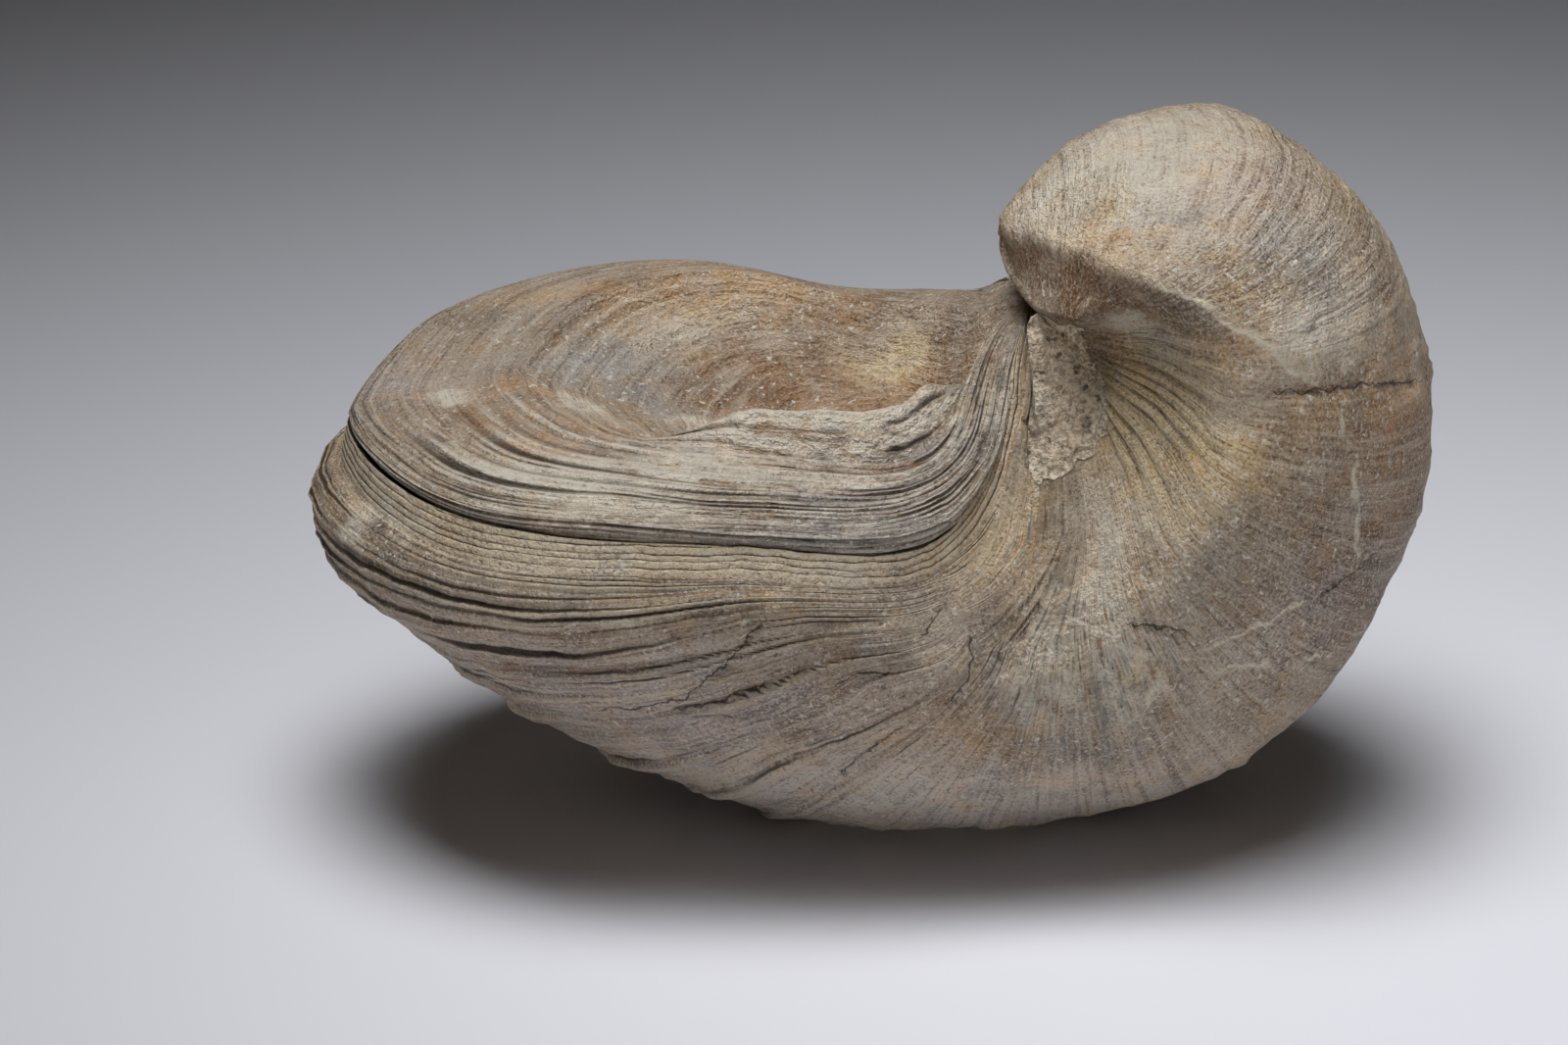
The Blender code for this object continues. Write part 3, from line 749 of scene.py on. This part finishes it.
cover = ring_piece("right_valve_lid", lid)
for name, grid in (("paint", np.clip(lid_paint * hinge_fade, -1, 1)), ("level", level),
                   ("streaks", band * hinge_fade * plain + 0.15), ("across", 9 * t)):
    keep(cover, name, with_ends(np.broadcast_to(grid, height.shape)))
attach(cover, "root")
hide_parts("right_valve")

# %% [markdown]
# ## The plug of mud
# Mud filled the funnel beside the hinge and set hard.  It is a thin lens with a
# gritty face: its inner side follows the shell, its outer side is worn flat, and its
# head is heaped up under the beak.

# %% The sediment plug
SEDIMENT_ANGLE, SEDIMENT_SPAN = 0.12, (8, 112)
SEDIMENT_FACE = (5.5, 0.65, 40)
NODE_GAP, SEDIMENT_PROUD, SEDIMENT_RIM = 0.09, 0.3, 0.03
SEDIMENT_HEAD, SEDIMENT_HEAP = (11.5, 33), (-1.1, 0.8, 2.5)   # heaped up under the beak
HEAP_WIDTH, HEAP_RUN = 1.5, 2.6

rows, share = np.linspace(*SEDIMENT_SPAN, 150), np.linspace(0, 1, 70)
ragged = lattice(np.stack([rows, 0 * rows, 0 * rows], -1), 7, 33, 3)
reach = (np.interp(rows, *np.array(SEDIMENT_EDGE).T) + 0.07 * ragged)[:, None]
angle = SEDIMENT_ANGLE + share * (reach - SEDIMENT_ANGLE)
plug_base, plug_normal, plug_relief, _, _ = valve_surface(rows, angle)
inner = plug_base + plug_normal * plug_relief[..., None]
ends = np.minimum(rows - rows[0], rows[-1] - rows)[:, None] / 40
border = np.minimum(np.minimum(3 * share, 1 - share), ends)
inset = smooth(border / 0.16)
inner[..., 1] -= (0.05 + NODE_GAP * inset) / np.maximum(-plug_normal[..., 1], 0.3)
depth, slope, high = SEDIMENT_FACE
face = depth + slope * (high - inner[..., 2])
outer = inner.copy()
outer[..., 1] = -np.maximum(-plug_base[..., 1] + SEDIMENT_PROUD, face)
grit = 0.20 * lattice(outer, 0.7, 31, 2) + 0.45 * lattice(outer, 2.6, 32, 3)
outer[..., 1] -= grit * inset + 0.25 * inset - 0.25
outer[..., 1] = outer[..., 1] * inset + (inner[..., 1] - SEDIMENT_RIM) * (1 - inset)
outer[..., 1] = np.minimum(outer[..., 1], inner[..., 1] - SEDIMENT_RIM)
x, z = outer[..., 0] - SEDIMENT_HEAD[0], outer[..., 2] - SEDIMENT_HEAD[1]
x = x + 0.5 * lattice(outer, 1.6, 34, 2)
heap = inset * bell(x, HEAP_WIDTH) * smooth(z / HEAP_RUN)
outer += heap[..., None] * SEDIMENT_HEAP

count, size, _ = inner.shape
index = np.arange(count * size).reshape(count, size)
low = np.stack([index[:-1, :-1], index[:-1, 1:], index[1:, 1:], index[1:, :-1]], -1).reshape(-1, 4)
top = low[:, ::-1] + count * size
loop = np.concatenate([index[0], index[1:, -1], index[-1, -2::-1], index[-2:0:-1, 0]])
rim = np.stack([np.roll(loop, -1), loop, loop + count * size, np.roll(loop, -1) + count * size], -1)
plug_points = place(np.concatenate([inner.reshape(-1, 3), outer.reshape(-1, 3)]))
plug_quads = np.concatenate([low, top, rim])
plug = add_surface("sediment_plug_mud", plug_points, plug_quads, np.zeros((0, 3), int))
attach(plug, "root")
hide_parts("sediment_plug")
print("plug:", len(plug_quads) * 2, "triangles")

# %% [markdown]
# ## Stains
# No two parts of a fossil have weathered alike.  Each stain below is a soft patch: a
# colour, its middle's X, Y and Z, its reach in X, Y and Z, and how strong it is.
# Noise bends the patches' outlines so that no edge looks drawn.  A few, noted
# where they lie, are painted light and painted shade.

# %% Where each stain lies
CHALK, BONE, OCHRE, RUST = (228, 216, 196), (190, 177, 155), (184, 150, 104), (156, 118, 78)
UMBER, CHAR, SLATE, MAUVE = (106, 74, 43), (40, 32, 28), (124, 128, 132), (156, 142, 136)
OLIVE, STRAW, ASH, DUN = (166, 146, 104), (192, 172, 132), (210, 199, 190), (112, 102, 90)
STONE_GAIN = 2.15
VALVE_STONE, LID_STONE, MUD = (145, 128, 107), (144, 129, 112), (150, 145, 134)
VALVE_STAINS = (
    # the pale BONE and CHALK patches on the beak's top, here and at (17, -5, 47), are chalky stone
    # and partly painted highlight
    (BONE, 19, -6, 45, 9, 8, 5, 0.6), (CHALK, 12, -5, 46, 7, 7, 4, 1),
    (OCHRE, 24, -8, 46.4, 5, 5, 2, 0.3), (MAUVE, 25, -7, 46.2, 5, 5, 2.5, 0.7),
    (SLATE, 18.6, -3, 47, 2, 3, 1.2, 0.5), (SLATE, 17.5, -11, 44.7, 2, 3, 1.5, 0.5),
    (RUST, 17, -1, 46.8, 2, 3, 1.2, 0.6), (CHALK, 17, -5, 47, 4, 4, 3, 0.6),
    (STRAW, 13, -8, 44.8, 4, 5, 1.8, 0.6), (OCHRE, 15.5, -11.5, 43.9, 3, 4, 1.3, 0.6),
    (SLATE, 19, -10, 45.6, 3, 3, 2, 0.5), (UMBER, 10, -6, 40.6, 3.5, 7, 1.9, 1),
    (UMBER, 14.5, -12, 40.6, 4.8, 7, 2.1, 1), (UMBER, 20, -16, 39.4, 4, 6, 1.6, 0.5),
    (SLATE, 27, -12, 42, 5, 6, 3, 0.4), (OCHRE, 25, -14, 39, 4, 6, 2, 0.4),
    # STRAW and OLIVE over the fan beside the hinge are golden stone, made paler as painted light
    # where the beak shades it
    (STRAW, 18, -13, 32, 6, 7, 5, 0.8), (OLIVE, 22, -18, 31, 4, 6, 4, 0.5),
    (UMBER, 27, -18, 34.5, 2.5, 5, 2, 0.6), (CHALK, 18, -14, 38.3, 2.2, 3, 1, 0.8),
    (OCHRE, 30, -16, 33, 3, 5, 2, 0.5), (RUST, 33, -12, 34.5, 2.5, 4, 1.6, 0.4),
    (RUST, 35, -10, 31, 2.5, 5, 3, 0.65), (CHALK, 29, -15, 38.8, 3, 5, 1.8, 0.7),
    (UMBER, 29, -15, 27, 4, 6, 3, 0.45), (OCHRE, 34, -9, 26, 3, 8, 4, 0.3),
    (BONE, 13, -20, 22, 6, 6, 6, 0.5), (CHALK, 14.5, -19, 23, 2, 5, 5, 0.8),
    (CHALK, 11.5, -21, 18, 1.8, 5, 4, 0.8), (CHALK, 16.5, -20, 18, 1.2, 5, 4, 0.6),
    (OCHRE, 9, -19, 25, 3, 6, 4, 0.4), (BONE, 17, -19, 19, 0.9, 5, 4, 0.5),
    (CHAR, 7, -22, 20, 1.8, 4, 2.4, 0.75), (CHAR, 9, -20, 13, 0.9, 3, 0.6, 0.9),
    (CHAR, 13.7, -18, 10.5, 0.9, 4, 0.6, 0.9), (OCHRE, 5, -20, 14, 4, 6, 2.5, 0.6),
    (RUST, 5.5, -20, 15.4, 3, 4, 0.8, 0.5), (DUN, 33, -12, 20, 5, 9, 7, 0.6),
    (UMBER, 33, -12, 21, 5, 9, 6, 0.65), (RUST, 34, -9, 30, 4, 8, 5, 0.35),
    (MAUVE, 28, -16, 19, 4, 8, 4, 0.4), (DUN, 23, -20, 23, 4, 6, 3.4, 0.5),
    # the DUN patches at (16, -19, 11) and (-3, -22, 13) make the lower body darker
    (MAUVE, -14, -18, 14, 18, 12, 7, 0.8), (DUN, 16, -19, 11, 9, 8, 4.5, 0.55),
    # the CHAR streak at (-31, -13, 23) is painted shade under the lamellae at the left
    (DUN, -3, -22, 13, 9, 8, 5, 0.3), (CHAR, -31, -13, 23, 3.5, 9, 0.7, 0.6),
    (CHALK, -32.5, -11.5, 24.4, 1.7, 3, 0.5, 0.9), (CHALK, -29.5, -15.5, 24.9, 1.7, 3, 0.5, 0.9),
    # the ASH patch at (2, -12, 4) is mauve-grey stone and painted light on the near belly, as if
    # lit from the floor in front
    (STRAW, -27, -16, 27, 5, 5, 0.9, 0.7), (ASH, 2, -12, 4, 22, 12, 5, 1),
    (BONE, -15, -22, 25, 18, 8, 2.4, 0.5), (SLATE, 2, -23, 24, 4, 5, 3, 0.3),
    (BONE, 10, -12, 30, 3.2, 9, 6, 0.5), (DUN, 13, -14, 27, 3, 6, 2, 0.5),
    (STRAW, 7, -18, 26, 3, 6, 3, 0.5), (BONE, 33, 4, 38, 4, 8, 6, 0.35),
    (RUST, 24, 15, 30, 6, 9, 5, 0.4), (SLATE, 8, 22, 17, 9, 8, 7, 0.45),
    (OCHRE, -12, 21, 14, 9, 9, 5, 0.45), (ASH, 0, 12, 4, 18, 12, 4, 0.7),
    (UMBER, -26, 16, 22, 6, 8, 4, 0.4), (BONE, -4, 23, 26, 12, 8, 2.5, 0.5),
    (OLIVE, 16, 15, 36, 5, 6, 4, 0.5), (CHALK, 20, 3, 47, 5, 5, 3, 0.4),
    (RUST, -33, 2, 20, 4, 9, 4, 0.3), (SLATE, 31, 6, 14, 5, 9, 5, 0.4),
)
LID_STAINS = (
    (UMBER, -5, 2, 28, 13, 9, 4, 0.5), (RUST, -3, 3, 28, 6, 4, 3, 0.6),
    # the CHALK at (-21, -17, 29.6) is chalky stone and partly painted highlight along the lid's
    # crest
    (BONE, -12, 12, 31.5, 10, 4, 3, 0.5), (CHALK, -21, -17, 29.6, 9, 4, 1.4, 1),
    (CHALK, -26, -13, 29.2, 3, 3, 1.5, 0.7), (CHALK, -11, -1.5, 28, 2.5, 1.6, 2, 0.6),
    (SLATE, 0, -20, 27, 7, 4, 2.2, 0.5), (ASH, -2, -20.5, 29.5, 6, 3, 0.7, 0.7),
    (RUST, -21, -9, 30.5, 7, 3, 2, 0.7), (RUST, -14, -11, 31, 8, 2.4, 1.6, 0.7),
    (OCHRE, -5, -12.5, 31.8, 7, 2, 1.2, 0.4), (UMBER, -27, -5, 30, 3, 3, 2, 0.7),
    (UMBER, -17, -13.5, 30.2, 4, 1.4, 2, 0.7), (RUST, -24, -2.3, 30.5, 4, 2, 2, 0.6),
    (SLATE, -18, 4, 30, 5, 3, 2, 0.7), (SLATE, -14, 1, 29, 3, 2, 2, 0.5),
    (STRAW, 0.8, 8, 28.5, 3, 2, 2, 1), (UMBER, -2.4, 11.4, 30, 3, 2, 2, 0.6),
    (UMBER, -5, 6, 27.5, 4, 4, 2, 0.6), (UMBER, 6, 6, 30, 2.4, 2.5, 3, 0.4),
    (RUST, -12, 14, 32.3, 9, 2.5, 2, 0.4), (RUST, -20, 12, 32, 5, 2, 2, 0.4),
    (CHALK, -28.2, -2.4, 29.8, 1.7, 1.3, 1.3, 1), (CHALK, -19, -3, 30.6, 1.6, 1.2, 1, 0.8),
    (MAUVE, -32, 2.5, 29, 4, 5, 2, 0.5), (DUN, 7, -12, 31, 2.5, 6, 4, 0.6),
    # the CHALK at (-5, -11.5, 32.4) is chalky stone and partly painted highlight along the lid's
    # near crest
    (CHALK, -5, -11.5, 32.4, 11, 2.6, 1.4, 1), (CHALK, -12, -17, 30, 6, 3, 1, 0.6),
    (SLATE, 3, -13, 31, 4, 4, 2, 0.4), (BONE, -12, -5, 29, 10, 2, 3, 0.35),
    (BONE, 4, -4, 30.5, 4, 4, 3, 0.5),
)
PLUG_STAINS = (
    # the BONE patch on the mud's head under the beak is painted light, lifting the beak's shade
    (BONE, 12, -6, 36, 4, 5, 2.4, 0.4), (CHAR, 10.8, -12, 30.4, 1.2, 5, 1.2, 0.4),
    (DUN, 11, -8, 35.6, 1.6, 5, 2.4, 0.5), (UMBER, 13.4, -10, 32, 1.4, 5, 3, 0.3),
)
print(len(VALVE_STAINS + LID_STAINS + PLUG_STAINS), "stains")

# %% Lay the stains
def colour(red, green, blue):
    """A colour picked on screen, 0 to 255, as the linear numbers a shader takes."""
    c = np.array([red, green, blue]) / 255
    return (*np.where(c <= 0.04045, c / 12.92, ((c + 0.055) / 1.055) ** 2.4), 1)


def stained(points, ground, stains, seed):
    """Colour at each point: the ground colour, then each stain laid over it by its
    strength times exp(-distance^2), distance counted in the stain's own reach."""
    tint, white = np.tile(colour(*ground)[:3], (len(points), 1)), np.zeros(len(points))
    bent = points + 1.6 * np.stack([lattice(points, 3.2, seed + k, 3) for k in range(3)], -1)
    fray = 0.45 * lattice(points, 1.1, seed + 3, 2)
    for paint, *numbers, strength in stains:
        far = (((bent - numbers[:3]) / numbers[3:]) ** 2).sum(-1)
        share = (strength * np.clip(1.25 * np.exp(-far) * (1 + fray), 0, 1))[:, None]
        tint = tint * (1 - share) + np.array(colour(*paint)[:3]) * share
        white = white * (1 - share[:, 0]) + (paint == CHALK) * share[:, 0]
    tint *= STONE_GAIN
    return tint * np.minimum(1, 0.90 / tint.max(-1, keepdims=True)), white


def stain(piece, ground, stains, seed):
    points = np.empty(len(piece.data.vertices) * 3, np.float32)
    piece.data.vertices.foreach_get("co", points)
    tint, white = stained(points.reshape(-1, 3) / MM, ground, stains, seed)
    keep(piece, "tint", tint)
    keep(piece, "chalk", white)
    print(piece.name, "has", len(stains), "stains laid on it")


stain(valve, VALVE_STONE, VALVE_STAINS, 301)
stain(cover, LID_STONE, LID_STAINS, 311)
stain(plug, MUD, PLUG_STAINS, 321)

# %% [markdown]
# ## Stone
# The stone is a warm grey brown.  Over the stains, fine streaks follow the growth
# lines and grit speckles it.  Proud edges are painted pale, as wear and painted
# highlight, and hollows and grooves are painted dark, as painted shade.

# %% Node helpers
class Nodes:
    """Short names for the nodes of one material."""

    def __init__(self, name, roughness):
        self.material, self.shader = principled(name, roughness)
        self.tree = self.material.node_tree

    def add(self, kind, values=(), **settings):
        """A new node with these settings, the values fed to its first sockets."""
        node = self.tree.nodes.new(kind)
        for key, value in settings.items():
            setattr(node, key, value)
        for value, socket in zip(values, node.inputs):
            self.link(value, socket)
        return node

    def link(self, value, socket):
        if isinstance(value, (int, float, tuple)):
            socket.default_value = value
        else:
            self.tree.links.new(value, socket)

    def kept(self, name, vector=False):
        node = self.add("ShaderNodeAttribute", attribute_name=name)
        return node.outputs["Vector" if vector else "Fac"]

    def object_point(self):
        return self.add("ShaderNodeTexCoord").outputs["Object"]

    def math(self, operation, a, b=0, c=0):
        return self.add("ShaderNodeMath", (a, b, c), operation=operation).outputs[0]

    def times(self, a, b):
        return self.math("MULTIPLY", a, b)

    def ramp(self, value, low, high, out_low=0, out_high=1):
        values = value, low, high, out_low, out_high
        node = self.add("ShaderNodeMapRange", values, interpolation_type="SMOOTHSTEP")
        return node.outputs[0]

    def noise(self, vector, scale, detail=2, rough=0.5):
        node = self.add("ShaderNodeTexNoise", (vector,))
        for value, key in ((scale, "Scale"), (detail, "Detail"), (rough, "Roughness")):
            self.link(value, node.inputs[key])
        return node.outputs["Fac"]

    def blend(self, share, a, b, kind="MIX"):
        node = self.add("ShaderNodeMix", data_type="RGBA", blend_type=kind)
        for value, key in ((share, 0), (a, 6), (b, 7)):
            self.link(value, node.inputs[key])
        return node.outputs[2]

    def layers(self, base, table, mask=None):
        """Lays each row's colour over base, as strongly as its value is past low."""
        for value, low, high, most, paint, kind in table:
            share = self.ramp(value, low, high, 0, most)
            share = share if mask is None else self.times(share, mask)
            base = self.blend(share, base, paint, kind)
        return base

    def combine(self, x, y, z):
        return self.add("ShaderNodeCombineXYZ", (x, y, z)).outputs[0]


# %% The stone
DARKEN, COVER = "MULTIPLY", "MIX"
CLOUDS, SPECKS, GRAINS = 160, 1500, 4200     # noise cells to the metre
BUMP_HEIGHT = 0.0005             # in metres


def stone(name, along, spacing, lip_colour, grit):
    """Stone with streaks along the growth lines: along names the kept number that
    counts them, spacing is their distance in its units, lip colours the pale edges,
    worn and painted highlight."""
    n = Nodes(name, 0.55)
    point, across, tint = n.object_point(), n.kept("across"), n.kept("tint", True)
    counted = n.math("DIVIDE", n.kept(along), spacing)

    def drawn_out(length, width, layer, detail, rough):
        """Noise drawn out along the growth lines."""
        where = n.combine(n.times(counted, length), n.times(across, width), layer)
        return n.noise(where, 1, detail, rough)

    streak = drawn_out(1, 1, 0, 4, 0.65)
    comb = drawn_out(1.5, 2, 3, 4, 0.75)
    layer = drawn_out(0.6, 0.3, 8, 2, 0.6)
    grain = n.noise(point, GRAINS, 3, 0.75)
    speck = n.noise(point, SPECKS, 3, 0.7)
    cloud = n.noise(point, CLOUDS, 4, 0.6)
    pale = n.blend(0.55, tint, (0.96, 0.9, 0.77, 1))
    base = n.layers(tint, (
        (n.noise(point, 270, 4, 0.6), 0.48, 0.62, 0.8, (1.1, 0.97, 0.76, 1), DARKEN),
        (n.noise(point, 220, 4, 0.6), 0.5, 0.62, 0.8, (0.84, 0.89, 0.99, 1), DARKEN),
        (cloud, 0.52, 0.36, 0.6, (0.55, 0.5, 0.46, 1), DARKEN),
        (cloud, 0.5, 0.68, 0.4, pale, COVER),
        (streak, 0.5, 0.34, 0.7, (0.42, 0.37, 0.32, 1), DARKEN),
        (streak, 0.51, 0.66, 0.75, pale, COVER),
        (grain, 0.46, 0.34, 0.8 * grit, (0.34, 0.29, 0.25, 1), DARKEN),
        (grain, 0.51, 0.62, 0.9 * grit, pale, COVER),
        (speck, 0.42, 0.3, 0.6, (0.42, 0.36, 0.31, 1), DARKEN),
    ))
    patchy = n.ramp(n.noise(point, 650, 3, 0.6), 0.42, 0.58, 0.15, 1)
    streaks = n.times(n.kept("streaks"), patchy)
    base = n.layers(base, (
        (layer, 0.53, 0.62, 0.75, colour(186, 140, 98), COVER),
        (layer, 0.47, 0.38, 0.75, colour(168, 164, 160), COVER),
        (comb, 0.48, 0.34, 0.8, colour(78, 62, 48), COVER),
        (comb, 0.52, 0.64, 0.95, lip_colour, COVER),
    ), streaks)
    white = n.ramp(n.math("ADD", comb, n.noise(point, 900, 4, 0.7)), 0.87, 1.03, 0, 0.95)
    base = n.blend(n.times(n.kept("chalk"), white), base, colour(250, 243, 224))
    # white specks all over: pale grains, and painted glints
    pale_speck_glint = n.ramp(n.noise(point, 1900, 3, 0.65), 0.61, 0.66, 0, 0.9)
    base = n.blend(pale_speck_glint, base, colour(250, 243, 228))
    # pale where it stands out or the paint says so, as wear and painted highlight;
    # dark in hollows and in the gaps past steps, as painted shade
    chips = n.ramp(speck, 0.36, 0.52, 0.35, 1)
    for value, low, high, light, dark, worn, shade_colour in (
        (n.kept("standing"), 0.02, 0.2, 0.6, 0.7, colour(220, 206, 176), colour(60, 47, 35)),
        (n.kept("paint"), 0.05, 0.6, 0.9, 0.9, lip_colour, colour(50, 38, 28)),
    ):
        base = n.blend(n.times(n.ramp(value, low, high, 0, light), chips), base, worn)
        base = n.blend(n.ramp(value, -low, -high, 0, dark), base, shade_colour)
    bumps = 0.0
    for value, share in ((streak, 1.1), (grain, 0.9), (speck, 0.7), (n.times(comb, streaks), 1.2),
                         (n.noise(point, 450, 4, 0.7), 2.2)):
        bumps = n.math("MULTIPLY_ADD", value, share, bumps)
    return n, base, bumps


def finish_stone(n, base, bumps):
    """Gives the shader its colour and bumps, and hands back the material."""
    n.link(base, n.shader.inputs["Base Color"])
    bump = n.add("ShaderNodeBump")
    bump.inputs["Distance"].default_value = BUMP_HEIGHT
    n.link(bumps, bump.inputs["Height"])
    n.link(bump.outputs[0], n.shader.inputs["Normal"])
    return n.material


print("noise in the stone:", CLOUDS, SPECKS, GRAINS, "cells to the metre")

# %% Paint the pieces
n, base, bumps = stone("left valve stone", "stage", 0.55, colour(248, 232, 200), 1)
warp = n.math("SUBTRACT", n.noise(n.object_point(), 700, 3), 0.5)
to_crack = n.math("ABSOLUTE", n.math("MULTIPLY_ADD", warp, 1.4, n.kept("crack")))
to_vein = n.math("ABSOLUTE", n.math("MULTIPLY_ADD", warp, 1.6, n.kept("vein")))
broken = n.ramp(n.noise(n.object_point(), 420, 2), 0.36, 0.52)
vein_share = n.times(n.ramp(to_vein, 0.32, 0.03, 0, 0.95), broken)
base = n.blend(vein_share, base, colour(248, 238, 212))
base = n.blend(n.ramp(to_crack, 0.1, 0.02, 0, 0.8), base, colour(40, 30, 22))
valve.data.materials.append(finish_stone(n, base, bumps))

n, base, bumps = stone("right valve stone", "level", 0.22, colour(246, 238, 222), 0.65)
cover.data.materials.append(finish_stone(n, base, bumps))

n = Nodes("set mud", 0.9)
point = n.object_point()
grain = n.noise(point, 2300, 3, 0.75)
speck = n.noise(point, 1300, 2, 0.6)
base = n.blend(n.ramp(grain, 0.36, 0.62), (0.62, 0.58, 0.53, 1), (1.25, 1.2, 1.12, 1))
base = n.blend(1, n.kept("tint", True), base, "MULTIPLY")
base = n.blend(n.ramp(speck, 0.41, 0.31, 0, 0.75), base, colour(64, 56, 48))
plug.data.materials.append(finish_stone(n, base, n.math("ADD", grain, speck)))
print("materials:", [piece.data.materials[0].name for piece in (valve, cover, plug)])
